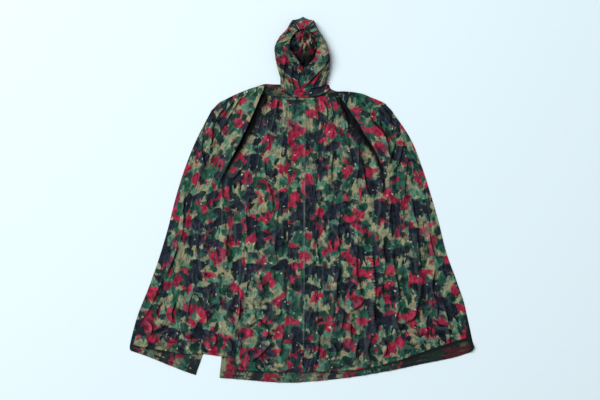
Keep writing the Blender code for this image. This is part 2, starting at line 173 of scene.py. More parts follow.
# Creases: their width and height, and the points of the line that each follows from
# its upper end.  The cloth on its left stands up and leans over it.
CREASES = (
    (5, 6, -250, 282, -267, 249, -288, 207),
    (7, 9, -233, 152, -262, 119, -296, 77),
    (5, 6, -158, 182, -153, 131, -149, 72),
    (6, 5, -141, 64, -124, 5, -120, -70),
    (7, 7, -380, 358, -372, 299, -384, 198),
    (7, 7, -410, 266, -418, 207, -397, 114),
    (8, 8, -485, 64, -494, -24, -498, -138, -519, -205),
    (9, 10, -510, -171, -544, -264, -573, -331),
    (9, 10, -569, -314, -607, -390, -640, -461, -687, -528),
    (6, 9, 346, 257, 359, 207, 376, 144),
    (6, 7, 242, 240, 237, 156, 233, 64),
    (7, 9, 237, -96, 233, -205, 229, -289, 242, -356, 262, -432),
    (6, 7, 262, -423, 237, -448, 195, -469),
    (6, 7, 136, 215, 124, 144, 124, 56),
    (7, 8, 61, 257, 69, 182, 48, 89),
    (7, 8, 82, 56, 74, -24, 52, -121),
    (6, 8, 240, 207, 258, 131, 268, 64, 300, -28),
    (6, 7, 397, 249, 380, 198, 368, 148),
    (7, 8, 430, 257, 414, 186, 393, 114),
    (7, 7, 447, 182, 435, 89, 430, -20),
    (8, 8, 380, 14, 368, -62, 363, -163),
    (7, 8, 65, -112, 61, -192, 82, -280),
    (7, 9, 296, -163, 300, -264, 309, -373, 304, -474, 321, -566),
    (7, 8, 355, -112, 342, -196, 351, -264, 338, -356, 346, -440),
    (8, 10, 376, -205, 393, -318, 418, -432),
    (7, 8, 414, -432, 397, -490, 410, -558),
    (7, 7, 481, -121, 489, -213, 502, -297),
    (8, 10, 514, -314, 494, -406, 472, -490, 422, -528, 380, -625),
    (6, 8, 178, -457, 170, -516, 158, -566),
    (6, 7, 208, -499, 204, -549, 212, -608),
    (8, 9, 69, -516, 69, -608, 57, -700),
    (8, 8, 292, -566, 279, -633, 296, -700),
    (6, 7, -258, -406, -262, -474, -271, -541),
    (6, 7, -61, -264, -74, -331, -65, -406, -82, -499),
    (7, 9, -69, -532, -82, -600, -94, -667),
    (7, 9, -116, -583, -162, -637, -216, -684),
    (6, 6, -178, -306, -170, -348, -153, -398),
    (6, 9, -628, -566, -590, -553, -552, -541),
    (6, 9, -666, -595, -628, -616, -561, -608),
    (6, 8, -636, -642, -594, -621, -544, -642),
    (7, 7, -443, -364, -468, -423, -477, -507),
    (7, 6, -334, -297, -346, -381, -338, -474),
    (8, 7, 565, -264, 548, -360, 565, -448),
    (8, 7, 598, -423, 611, -499, 632, -566),
    (6, 8, 536, -474, 519, -516, 531, -574),
    (7, 7, 166, -37, 153, -121, 162, -213),
    (8, 5, -6, -255, 6, -381, -6, -499),
    (7, 6, -216, 14, -233, -62, -225, -163),
    (7, 6, -300, -112, -317, -205, -304, -289),
    (7, 6, -103, -129, -111, -213, -99, -289),
    (6, 6, 162, -297, 145, -364, 158, -423),
    (7, 7, 464, 14, 472, -62, 494, -129),
    (7, 7, 531, -121, 544, -196, 569, -264),
    (5, 6, -124, 450, -149, 417, -166, 366),
    (5, 5, -90, 434, -103, 392, -99, 333),
    (5, 7, 120, 434, 145, 400, 183, 350),
    (5, 6, 86, 425, 103, 383, 107, 324),
    (6, 7, 153, 434, 187, 383, 229, 333),
    (8, 9, 271, 375, 300, 324, 346, 270, 372, 173),
    (6, 7, -275, 425, -309, 383, -334, 333),
    (6, 6, -317, 392, -351, 350, -376, 291),
    (5, 6, -242, 450, -267, 413, -288, 375),
    (6, 7, 321, 417, 346, 375, 380, 333),
    (6, 7, 393, 366, 418, 316, 443, 266),
    (5, 6, 153, 392, 183, 341, 204, 282),
    (6, 6, -191, 366, -208, 316, -216, 266),
    (6, 9, -653, -499, -628, -532, -636, -574),
    (5, 8, -603, -516, -578, -537, -548, -528),
    (6, 9, -695, -566, -662, -574, -640, -604),
    (6, 9, -582, -574, -561, -600, -519, -600),
    (5, 8, -620, -604, -603, -633, -569, -646),
    (6, 8, -506, -549, -485, -579, -443, -583),
    (5, 7, -472, -616, -443, -633, -405, -625),
    (6, 7, -527, -423, -544, -474, -536, -516),
    (6, 7, -418, -448, -397, -490, -410, -541),
    (6, 7, -368, -549, -359, -587, -376, -625),
    (7, 9, -309, -574, -292, -608, -300, -658),
    (6, 8, -582, -423, -607, -461, -603, -499),
    (6, 6, -216, -423, -195, -474, -208, -516),
    (6, 7, -166, -516, -141, -553, -158, -600),
    (6, 6, -23, -549, -40, -600, -32, -658),
    (6, 7, 124, -591, 145, -633, 132, -684),
    (6, 7, 237, -591, 225, -642, 237, -692),
    (6, 8, 342, -583, 355, -625, 338, -667),
    (6, 8, 548, -499, 582, -532, 615, -524),
    (6, 8, 456, -549, 489, -574, 531, -562),
    (5, 7, 435, -600, 464, -616, 498, -600),
    (5, 7, 607, -541, 632, -566, 674, -558),
    (7, 9, -128, 480, -162, 463, -187, 425),
    (7, 9, 116, 455, 149, 442, 183, 413),
    (5, 6, -107, 467, -141, 446, -162, 413),
    (5, 4, -6, 429, -2, 392, -10, 341),
)
CREASE_TAPER = 0.25
CREASE_LEAN = 0.75

# Stitches: how far those of the fronts are from the hem, their pitch and their size.
HEM_STITCH = 15
STITCH_PITCH = 6.5
STITCH_LENGTH, STITCH_WIDTH, STITCH_HEIGHT = 4.2, 0.9, 0.7

# The placket, and where across its half it is stitched down, as a share.
FLY_TOP_Y = 417
FLY_END_FRACTION = 0.893
FLY_RIDGE = 3.0
FLY_STITCH = 0.86

# The back panel, in two bays that part at the vent.
BACK_ROWS = 170
BACK_LEFT_COLUMNS = 70
BACK_RIGHT_COLUMNS = 200
BACK_LEFT_HEM = ((-720, -633), (-624, -667), (-527, -707), (-447, -736))
VENT_TIP, VENT_TOP = (-309, -353), (-170, 482)
BACK_RIGHT_HEM = (
    (-346, -747), (-200, -759), (-60, -768), (90, -758), (225, -742),
    (376, -716), (500, -690), (619, -666), (700, -642), (722, -621),
)
BACK_NECK = (
    (-152, 486), (-96, 484), (98, 484), (108, 474), (130, 460), (149, 455), (183, 455)
)
HEM_TURNING = 19
HEM_TURNING_LIFT = 1.2
HEM_TURNING_ROWS = 9
HEM_TURNING_STEP = 4

# Sections of each hood half, from the neck round to the middle of the face edge: Y
# and Z of the seam behind, then X, Y and Z of side, crest, throat and face edge.
LEFT_HOOD = (
    (484.3, 0, -90, 489, 5, -80, 466, 7.5, -42, 438, 5, 14, 434, 4),
    (524, 0, -95, 522, 12, -77, 506, 23, -34, 492, 11, 12, 488, 6),
    (568, 0, -106, 560, 18, -86, 549, 38, -43, 545, 27, 5, 549, 16),
    (618, 0, -114, 602, 22, -97, 594, 47, -61, 590, 45, -24, 590, 31),
    (668, 0, -115, 640, 23, -100, 633, 50, -74, 631, 50, -48, 629, 41),
    (720, 0, -97, 678, 22, -86, 673, 49, -68, 667, 48, -50, 661, 41),
    (765, 4, -66, 711, 20, -61, 705, 44, -50, 694, 44, -38, 683, 40),
    (757, 24, -36, 750, 26, -31, 734, 37, -25, 718, 39, -20, 704, 37),
    (722, 37, 3, 720, 37.2, 4, 718, 37.4, 4.3, 716, 37.4, 4.6, 713, 37),
)
RIGHT_HOOD = (
    (484.3, 0, 96, 489, 6, 102, 466, 10, 50, 437, 7, -36, 442, 8.5),
    (524, 0, 111, 522, 12, 94, 505, 28, 44, 480, 15, -21, 476, 15),
    (568, 0, 119, 560, 18, 100, 548, 41, 60, 536, 37, 2, 539, 25),
    (618, 0, 117, 602, 22, 101, 593, 49, 76, 583, 49, 42, 579, 37),
    (668, 0, 108, 640, 23, 95, 633, 52, 80, 629, 52, 63, 625, 44),
    (720, 0, 92, 678, 22, 83, 673, 52, 73, 667, 50, 62, 660, 44),
    (765, 4, 68, 711, 20, 62, 705, 46, 57, 697, 46, 50, 689, 42),
    (757, 24, 46, 750, 26, 40, 734, 39, 33, 718, 40, 26, 705, 38),
    (722, 37, 7, 720, 37.2, 6, 718, 37.4, 5.7, 716, 37.4, 5.4, 713, 37),
)
HOOD_CREASES = (
    (5, 4, -74, 723, -103, 660, -111, 602, -94, 551),
    (5, 5, -61, 602, -74, 543, -78, 480),
    (4, 4, -94, 585, -86, 530, -69, 488),
    (4, 4, -36, 560, -44, 513, -32, 467),
    (6, 7, 103, 560, 52, 513, 6, 467),
    (5, 5, 103, 660, 111, 602, 94, 551),
    (5, 4, 40, 753, 74, 698, 90, 639),
    (4, 4, 107, 484, 69, 471, 32, 463),
    (4, 4, -23, 753, -48, 723, -74, 669),
    (4, 4, 86, 534, 61, 501, 44, 459),
    (4, 4, -6, 526, -15, 492, -2, 455),
)
HOOD_SEAM_X = 5
HOOD_UNDER_SHARE = 0.74
HOOD_UNDER_SLOPE = 0.65
HOOD_ROWS = 130
HOOD_COLUMNS = 150
# The hem along the face edge: its rows, its columns, and how far it stands off.
HOOD_EDGE = (slice(6, -10), slice(HOOD_COLUMNS - 17, HOOD_COLUMNS))
HOOD_EDGE_LIFT = 1.1

# The bound seam at the neck.
BAND_LINES = 9
BAND_WIDTH = 8
BAND_RISE = 1.2
BAND_WALL = 1.4
NECK_ARC = (
    (-84, 467, 9.2), (-50, 439, 7.2), (-20, 435, 8.9),
    (15, 433, 8.6), (70, 441, 9.4), (116, 466, 9.4),
)


# ---- lines and grids


def lengths_along(line):
    """How far along a line each of its points lies."""
    return np.append(0, np.linalg.norm(np.diff(line, axis=0), axis=1).cumsum())


def read_line(line, lengths, wanted):
    """The points of a line, or what goes with them, at these lengths."""
    return np.stack([np.interp(wanted, lengths, axis) for axis in line.T], axis=-1)


def shares(count):
    """This many even shares from 0 to 1."""
    return np.linspace(0, 1, count)


def smooth_line(points, fractions):
    """Points at these fractions of the length of a smooth line through points."""
    points = np.array(points, float)
    ends = np.vstack([2 * points[0] - points[1], points, 2 * points[-1] - points[-2]])
    steps = shares(17)[:-1, None]
    spans = []
    for before, start, end, after in zip(ends, ends[1:], ends[2:], ends[3:]):
        spans.append(
            start
            + steps * (end - before) / 2
            + steps**2 * (before - 2.5 * start + 2 * end - after / 2)
            + steps**3 * (1.5 * (start - end) + (after - before) / 2)
        )
    line = np.vstack(spans + [points[-1:]])
    lengths = lengths_along(line)
    return read_line(line, lengths, np.asarray(fractions, float) * lengths[-1])


def blend(values, fractions):
    """A column of a table, read smoothly at fractions of the way down it."""
    rows = shares(len(values))
    line = smooth_line(np.column_stack([rows, values]), shares(200))
    return np.interp(fractions, line[:, 0], line[:, 1])


def run_and_side(line):
    """Unit steps along a line and to its left, in plan."""
    run = np.gradient(line[:, :2], axis=0)
    run /= np.linalg.norm(run, axis=1, keepdims=True)
    return run, np.column_stack([-run[:, 1], run[:, 0]])


def unit(vectors):
    """A grid of vectors, each made 1 long."""
    return vectors / np.maximum(np.linalg.norm(vectors, axis=2, keepdims=True), 1e-9)


def ease(value):
    """From 0 to 1 as the value does, easing in and out."""
    value = np.clip(value, 0, 1)
    return value * value * (3 - 2 * value)


def ease_ends(along, first, last):
    """1, but easing to 0 in this share of a line's first and last part."""
    return ease(along / first) * ease((1 - along) / last)


def hump(distance):
    """A smooth rise, 1 where the distance is 0 and hardly there from 2 on."""
    return np.exp(-(distance**2))


def bay(left, right, top, hem, columns, rows):
    """Plan points between two long lines, bent to the top and hem lines."""
    top = smooth_line([left[0], *top, right[0]], columns)
    hem = smooth_line([left[-1], *hem, right[-1]], columns)
    across = np.asarray(columns, float)[None, :, None]
    down = np.asarray(rows, float)[:, None, None]
    straight = left[:, None] * (1 - across) + right[:, None] * across
    ends = straight[:1] * (1 - down) + straight[-1:] * down
    return straight + top[None] * (1 - down) + hem[None] * down - ends


def directions(surface):
    """The direction square to a grid of points, upward where columns run to +X."""
    return unit(np.cross(np.gradient(surface, axis=1), -np.gradient(surface, axis=0)))


def drift(across, along, seed):
    """Smooth random heights, about -1 to 1, the same in each run."""
    turns = np.random.default_rng(seed).uniform(0, 2 * np.pi, (64, 64))
    across, along = np.broadcast_arrays(across, along)
    column, row = np.floor(across).astype(int), np.floor(along).astype(int)
    x, y = across - column, along - row

    def pull(right, lower):
        turn = turns[(row + lower) % 64, (column + right) % 64]
        return np.cos(turn) * (x - right) + np.sin(turn) * (y - lower)

    ease_x, ease_y = ease(x), ease(y)
    upper = pull(0, 0) * (1 - ease_x) + pull(1, 0) * ease_x
    under = pull(0, 1) * (1 - ease_x) + pull(1, 1) * ease_x
    return 1.6 * (upper * (1 - ease_y) + under * ease_y)


def pinches(across, along, seed, sharp=3.0):
    """Crests of random creases, 0 to 1, where two folds of limp cloth meet."""
    crest = 1 - np.minimum(abs(drift(across, along, seed)) * sharp, 1)
    where = ease(0.55 + 1.3 * drift(across / 2.7, along / 2.1, seed + 1))
    return crest**1.7 * where


def crease_shapes(plan, creases):
    """Height, sideways lean and depth of shade that the creases give a grid."""
    height, shade = np.zeros(plan.shape[:2]), np.zeros(plan.shape[:2])
    lean = np.zeros(plan.shape)
    steps = shares(33)
    for width, rise, *points in creases:
        line = smooth_line(np.reshape(points, (-1, 2)), steps)
        run, side = run_and_side(line)
        room = 5 * width
        close = ((plan > line.min(0) - room) & (plan < line.max(0) + room)).all(2)
        gap = plan[close][:, None] - line
        nearest = (gap**2).sum(2).argmin(1)
        gap = gap[np.arange(len(gap)), nearest]
        aside = (gap * side[nearest]).sum(1) / width
        past = (gap * run[nearest]).sum(1) / width
        along = steps[nearest]
        ends = ease_ends(along, CREASE_TAPER, CREASE_TAPER) * hump(past)
        crest = hump((aside + 1.1) / np.where(aside < -1.1, 2.2, 1.0)) * ends
        height[close] += rise * crest
        height[close] -= 0.25 * rise * np.exp(-((aside - 0.4) ** 2) / 0.5) * ends
        lean[close] += side[nearest] * (rise * CREASE_LEAN * crest**2)[:, None]
        # The shade starts sharply under the crest and fades away from it, in patches.
        patches = 0.6 + 0.4 * ease(0.5 + drift(along * 4.3, 0.5, width))
        fade = np.exp(-np.maximum(aside, 0) / 1.1) * ease((aside + 0.6) / 0.5)
        shade[close] += fade * ends * patches
    return height, lean, np.minimum(shade, 1)


def ridge_heights(plan, ridges):
    """What the ridges of a table add to the height at each plan point."""
    height = np.zeros(plan.shape[:2])
    for *ends, bow, width, rise in ridges:
        start, end = np.reshape(ends, (2, 2))
        chord = end - start
        length = np.linalg.norm(chord)
        along = (plan - start) @ chord / length**2
        aside = (plan - start) @ np.array([-chord[1], chord[0]]) / length
        off = (aside - bow * 4 * along * (1 - along)) / width
        height += rise * ease_ends(along, RIDGE_TAPER, RIDGE_TAPER) * hump(off)
    return height


# ---- finishes


def dye(red, green, blue):
    """A colour of 0 to 255 as the shader reads it."""
    shades = np.array([red, green, blue]) / 255
    bright = ((shades + 0.055) / 1.055) ** 2.4
    linear = np.where(shades > 0.04045, bright, shades / 12.92)
    return (*linear.tolist(), 1)


class Value:
    """A number or colour that varies over the cloth."""

    def __init__(self, finish, socket):
        self.finish = finish
        self.socket = socket

    def reckon(self, operation, *others, clamp=False):
        """What a sum in the shader makes of this value and the others."""
        settings = {"operation": operation, "use_clamp": clamp}
        return self.finish.node("Math", settings, dict(enumerate((self, *others))))

    def __add__(self, other):
        return self.reckon("ADD", other)

    def __sub__(self, other):
        return self.reckon("SUBTRACT", other)

    def __rsub__(self, other):
        return (self * -1) + other

    def __mul__(self, other):
        return self.reckon("MULTIPLY", other)

    def share(self):
        """The number kept between 0 and 1."""
        return self.reckon("ADD", 0.0, clamp=True)


class Finish:
    """A material being mixed.  Its method node adds a node of any kind."""

    def __init__(self, name):
        self.material = bpy.data.materials.new(name)
        self.material.use_nodes = True
        self.tree = self.material.node_tree
        self.shader = self.tree.nodes["Principled BSDF"]

    def feed(self, node, sockets):
        """Give a node's sockets a value each, or link one to them."""
        for key, value in sockets.items():
            if isinstance(value, Value):
                self.tree.links.new(value.socket, node.inputs[key])
            else:
                node.inputs[key].default_value = value

    def node(self, kind, settings, sockets, output=0):
        """What a new node of any kind gives out."""
        node = self.tree.nodes.new("ShaderNode" + kind)
        for key, value in settings.items():
            setattr(node, key, value)
        self.feed(node, sockets)
        return Value(self, node.outputs[output])

    def noise(self, place, size, detail=1.5, roughness=0.5, distortion=0.0):
        """Random shades, about as far apart as this size."""
        sockets = {
            "Vector": place,
            "Scale": 1 / size,
            "Detail": detail,
            "Roughness": roughness,
            "Distortion": distortion,
        }
        return self.node("TexNoise", {}, sockets)

    def at(self, across, along, depth=0.0):
        """A place on the cloth."""
        return self.node("CombineXYZ", {}, {"X": across, "Y": along, "Z": depth})

    def tint(self, share, under, over):
        """One colour laid over the other, as densely as this share."""
        sockets = {0: share, 6: under, 7: over}
        return self.node("Mix", {"data_type": "RGBA"}, sockets, 2)

    def spots(self, place, settings, scale, randomness, output):
        """Spots around scattered points: how far each is, or its own colour."""
        sockets = {"Vector": place, "Scale": scale, "Randomness": randomness}
        settings = {"feature": "F1", **settings}
        return self.node("TexVoronoi", settings, sockets, output)

    def bump(self, strength, depth, height):
        """Relief with this height, as the light sees it."""
        sockets = {"Strength": strength, "Distance": depth, "Height": height}
        return self.node("Bump", {}, sockets)


# The dyes, in the order that they are printed: the deepest and the palest tone of
# each, the width and height of its blotches' cells in metres, the level above which
# it shows, how far it drips in metres, how sharp its edges are, and its seed.
PRINT = (
    (dye(66, 110, 78), dye(102, 144, 125), 0.060, 0.050, 0.550, 0.012, 17, 51.3),
    (dye(22, 60, 38), dye(42, 100, 84), 0.066, 0.054, 0.544, 0.014, 17, 3.1),
    (dye(100, 16, 34), dye(198, 42, 78), 0.086, 0.068, 0.575, 0.014, 17, 11.7),
    (dye(16, 36, 26), dye(33, 64, 58), 0.052, 0.046, 0.625, 0.010, 17, 23.3),
    (dye(11, 14, 18), dye(32, 43, 57), 0.104, 0.072, 0.586, 0.042, 21, 37.9),
)
GROUND = dye(167, 154, 115)
AGED_GROUND = dye(130, 138, 110)
VEIL = dye(46, 46, 64)
FLECK = dye(206, 212, 184)
MOTTLE = dye(16, 18, 24)
# Near-black for painted shade in small creases.
SMALL_CREASE_SHADE = dye(7, 8, 10)
# Pale tint for wear and for painted sheen on crests and pressed folds.
SHEEN_AND_WEAR = dye(150, 154, 150)
# Near-black for painted shade in the troughs, along the creases and in the hollows.
SHADE_COLOUR = dye(8, 9, 12)
DULL = dye(44, 48, 44)

# Sizes of the finer marks, in metres, and how often the waves of the threads turn.
RAGGED_SIZE = 0.014
FINGER_SIZE = 0.016
FLECKS_PER_METRE = 42.0
MOTTLE_SIZE = 0.011
SMALL_CREASE_SHADE_SIZE = 0.009
CRUMPLE_SIZE = 0.016
GRAIN_SIZE = 0.006
THREAD_TURNS = 5200


def printed_nylon(name, dull, roughness):
    """Coated nylon with a blotched print, one dye over the other."""
    finish = Finish(name)
    cloth = finish.node("UVMap", {"uv_map": "cloth"}, {})
    across = finish.node("SeparateXYZ", {}, {"Vector": cloth}, 0)
    along = finish.node("SeparateXYZ", {}, {"Vector": cloth}, 1)
    ragged = finish.noise(cloth, RAGGED_SIZE, 1.5, 0.6) - 0.5
    turned = finish.at(along, across, 4.0)
    ragged_too = finish.noise(turned, RAGGED_SIZE, 1.5, 0.6) - 0.5
    across_print = across + ragged * 0.014
    along_print = along + ragged_too * 0.012

    aged = finish.noise(cloth, 0.09) * 1.4 - 0.2
    colour = finish.tint(aged, GROUND, AGED_GROUND)
    uneven = (finish.noise(cloth, 0.025, 2.0) * 2.4 - 0.7).share()
    for deep, pale, width, height, level, drip, edge, seed in PRINT:
        long_spot = finish.at(across, along * 0.3, seed)
        fingers = finish.noise(long_spot, FINGER_SIZE, 1.0)
        reach = ((fingers - 0.46) * 7).share() * drip
        fields = []
        for down in (along_print, along_print + reach):
            spot = finish.at(across_print * (1 / width), down * (1 / height), seed)
            # One blotch or so in each cell, so that they are spread evenly.
            settings = {"voronoi_dimensions": "2D"}
            away = finish.spots(spot, settings, 1.0, 0.85, "Distance")
            rough = finish.noise(spot, 0.9, 1.0, 0.5, 0.3)
            fields.append(rough + (0.42 - away) * 0.36)
        field = fields[0].reckon("MAXIMUM", fields[1])
        mask = ((field - level) * edge + 0.5).share()
        colour = finish.tint(mask, colour, finish.tint(uneven, deep, pale))

    # A second, thinner printing of the dark dye, which lets the others show.
    veil = finish.noise(finish.at(across_print, along_print * 1.3, 7.7), 0.06, 1.0)
    veil = ((veil - 0.60) * 12 + 0.5).share() * 0.4
    colour = finish.tint(veil, colour, VEIL)

    # Small pale flecks.
    spot = finish.at(across + ragged * 0.02, along + ragged_too * 0.02)
    away = finish.spots(spot, {}, FLECKS_PER_METRE, 1.0, "Distance")
    chosen = finish.spots(spot, {}, FLECKS_PER_METRE, 1.0, "Color")
    chosen = finish.node("SeparateColor", {}, {"Color": chosen}, 0)
    fleck = ((0.2 - away) * 9).share() * ((chosen - 0.42) * 2).share()
    colour = finish.tint(fleck * 0.85, colour, FLECK)

    # Small dark specks, and painted shade along the small creases.
    spot = finish.at(across, along * 0.45, 2.6)
    mottle = finish.noise(spot, MOTTLE_SIZE, 2.0, 0.6)
    mottle = ((0.46 - mottle) * 7).share() * 0.45
    colour = finish.tint(mottle, colour, MOTTLE)
    spot = finish.at(across * 1.5, along * 0.6, 8.3)
    small_crease_shade = finish.noise(spot, SMALL_CREASE_SHADE_SIZE, 2.0, 0.55)
    small_crease_shade = ((0.375 - small_crease_shade) * 16).share() * 0.85
    colour = finish.tint(small_crease_shade, colour, SMALL_CREASE_SHADE)

    # Wear and painted sheen along the crests and pressed folds, and painted shade in
    # the troughs, along the creases and in the hollows.  The field read from the cloth
    # is painted shade above 0, where it is dark, and below 0 wear and painted sheen
    # make it pale.
    crest = finish.node("Attribute", {"attribute_name": "crest"}, {}, "Fac")
    patchy = finish.noise(cloth, 0.16, 3.0, 0.6)
    shade_and_sheen = finish.node("Attribute", {"attribute_name": "shade_and_sheen"}, {}, "Fac")
    wear_and_sheen = ((crest - 0.6) * 0.18 + shade_and_sheen * -0.5).share()
    colour = finish.tint(wear_and_sheen, colour, SHEEN_AND_WEAR)
    painted_shade = ((0.42 - crest) * 1.6 + (patchy - 0.5) * 0.25).share()
    painted_shade = (painted_shade * 0.35 + shade_and_sheen * 1.05).share()
    colour = finish.tint(painted_shade, colour, SHADE_COLOUR)
    if dull:
        colour = finish.tint(dull, colour, DULL)

    # Crumples, and the fine weave under the coating.
    spot = finish.at(across, along * 0.45)
    crumple = finish.noise(spot, CRUMPLE_SIZE, 3.0, 0.55)
    small = finish.noise(cloth, GRAIN_SIZE, 2.0, 0.5)
    weft, warp = (line * THREAD_TURNS for line in (across, along))
    threads = weft.reckon("SINE") * warp.reckon("SINE")
    relief = crumple * 1.0 + small * 0.4 + threads * 0.012
    sockets = {
        "Normal": finish.bump(0.85, 0.004, relief),
        "Base Color": colour,
        "Roughness": (patchy * 0.16 + (roughness - 0.08)).share(),
        "Specular IOR Level": 0.07,
    }
    finish.feed(finish.shader, sockets)
    return finish.material


def plain_finish(name, colour, roughness, grain, depth):
    """A plain dyed finish with a fine grain, in the piece's own coordinates."""
    finish = Finish(name)
    place = finish.node("TexCoord", {}, {}, "Object")
    grit = finish.noise(place, grain, 3.0, 0.6)
    darker = dye(*(0.96 * part for part in colour))
    shade = finish.tint((grit * 0.3).share(), dye(*colour), darker)
    normal = finish.bump(0.4, depth, grit)
    sockets = {"Base Color": shade, "Roughness": roughness, "Normal": normal}
    finish.feed(finish.shader, sockets)
    return finish.material


# ---- making cloth


def mesh_of(name, shape):
    """A mesh with this shape."""
    mesh = bpy.data.meshes.new(name)
    shape.to_mesh(mesh)
    shape.free()
    return mesh


def flat_mesh(name, across, down, size):
    """A flat mesh of this many faces across and down, reaching this far each way."""
    shape = bmesh.new()
    bmesh.ops.create_grid(shape, x_segments=across, y_segments=down, size=size)
    return mesh_of(name, shape)


def put_in_scene(name, data):
    thing = bpy.data.objects.new(name, data)
    bpy.context.scene.collection.objects.link(thing)
    return thing


def lie_lengths(surface, axis):
    """How far along the cloth each point lies, down its rows or columns, in mm."""
    steps = np.linalg.norm(np.diff(surface, axis=axis), axis=2)
    before = 0 * steps.take([0], axis=axis)
    return np.concatenate([before, steps], axis=axis).cumsum(axis=axis)


def crests(surface):
    """Where the cloth is bent up, above a half, or down, below it."""
    height = surface[..., 2]
    bend = np.zeros_like(height)
    for reach in (2, 4):
        for axis in (0, 1):
            nearby = np.roll(height, reach, axis) + np.roll(height, -reach, axis)
            bend += (height - nearby / 2) / reach
    bend[:4] = bend[-4:] = 0
    bend[:, :4] = bend[:, -4:] = 0
    return np.clip(0.5 + bend * 0.42, 0, 1)


def calm(values, reach):
    """Values averaged down their columns, so that neighbouring rows agree."""
    padded = np.pad(values, ((reach, reach), (0, 0)), "edge")
    total = np.vstack([0 * padded[:1], padded]).cumsum(axis=0)
    return (total[2 * reach + 1 :] - total[: -2 * reach - 1]) / (2 * reach + 1)


def cloth(name, surface, thread, shift=(0, 0), walls=CLOTH, print_on=None):
    """A thin shell on a grid of points.  thread: the finishes of its two sides, the
    one that its normals leave from first, or one finish for both."""
    # A fourth layer of the grid, if it has one, is painted shade above 0, and wear with
    # painted sheen below 0.
    shade = surface[..., 3] if surface.shape[2] > 3 else 0 * surface[..., 0]
    surface = surface[..., :3]
    rows, columns = surface.shape[:2]
    mesh = flat_mesh(name, columns - 1, rows - 1, 1)
    flat = np.empty(len(mesh.vertices) * 3)
    mesh.vertices.foreach_get("co", flat)
    flat = flat.reshape(-1, 3)
    column = np.rint((flat[:, 0] + 1) / 2 * (columns - 1)).astype(int)
    row = rows - 1 - np.rint((flat[:, 1] + 1) / 2 * (rows - 1)).astype(int)
    mesh.vertices.foreach_set("co", (surface[row, column] * MM).ravel())

    if print_on is None:
        middle = columns // 2
        spread = lie_lengths(surface, 1)
        spread += surface[:, middle, 0][:, None] - spread[:, middle][:, None]
        print_on = np.dstack([calm(spread, 14), surface[..., 1]])
    corner = np.empty(len(mesh.loops), int)
    mesh.loops.foreach_get("vertex_index", corner)
    picture = (print_on * MM + np.array(shift))[row, column][corner]
    mesh.uv_layers.new(name="cloth").data.foreach_set("uv", picture.ravel())
    for field, values in (("crest", crests(surface)), ("shade_and_sheen", shade)):
        points = mesh.attributes.new(field, "FLOAT", "POINT")
        points.data.foreach_set("value", values[row, column])
    for finish in thread:
        mesh.materials.append(finish)
    mesh.shade_smooth()
    mesh.update()
    piece = put_in_scene(name, mesh)
    wall = piece.modifiers.new("wall", "SOLIDIFY")
    wall.thickness = walls * MM
    wall.offset = 1
    wall.material_offset = len(thread) - 1
    wall.material_offset_rim = 0
    return piece


def sew(name, seams, lift):
    """Rows of stitches.  Each seam is a line on the cloth, and the way up from it."""
    shape = bmesh.new()
    for line, up in seams:
        line, up = line[:, :3], up[:, :3]
        lengths = lengths_along(line)
        middles = np.arange(0.6, lengths[-1] / STITCH_PITCH - 0.5) * STITCH_PITCH
        places, rises = (read_line(values, lengths, middles) for values in (line, up))
        for place, run, rise in zip(places, np.gradient(places, axis=0), rises):
            run /= np.linalg.norm(run)
            side = np.cross(rise, run)
            axes = (run * STITCH_LENGTH, side * STITCH_WIDTH, rise * STITCH_HEIGHT)
            turned = Matrix(np.column_stack(axes)).to_4x4()
            turned.translation = (place + rise * lift) * MM
            bmesh.ops.create_icosphere(
                shape, subdivisions=1, radius=0.5 * MM, matrix=turned
            )
    mesh = mesh_of(name, shape)
    mesh.shade_smooth()
    mesh.materials.append(thread_finish)
    return put_in_scene(name, mesh)


# ---- fronts and placket


def front_plan(front, seam_x):
    """Plan points of a front, its columns running from the side to the middle."""
    sections, shoulder, neck, outer_hem, inner_hem = front
    rows = shares(FRONT_ROWS)
    edge, fold, fly = (
        smooth_line(np.array(sections, float)[:, first : first + 2], rows)
        for first in (0, 2, 7)
    )
    centre = np.array(CENTRE_TOP) + rows[:, None] * np.subtract(CENTRE_HEM, CENTRE_TOP)
    centre[:, 0] += seam_x
    outer, inner, strip = (
        shares(steps + 1) for steps in (OUTER_STEPS, INNER_STEPS, FLY_STEPS)
    )
    return np.hstack([
        bay(edge, fold, shoulder, outer_hem, outer, rows),
        bay(fold, fly, neck, inner_hem, inner, rows)[:, 1:],
        bay(fly, centre, (), (), strip, rows)[:, 1:],
    ])


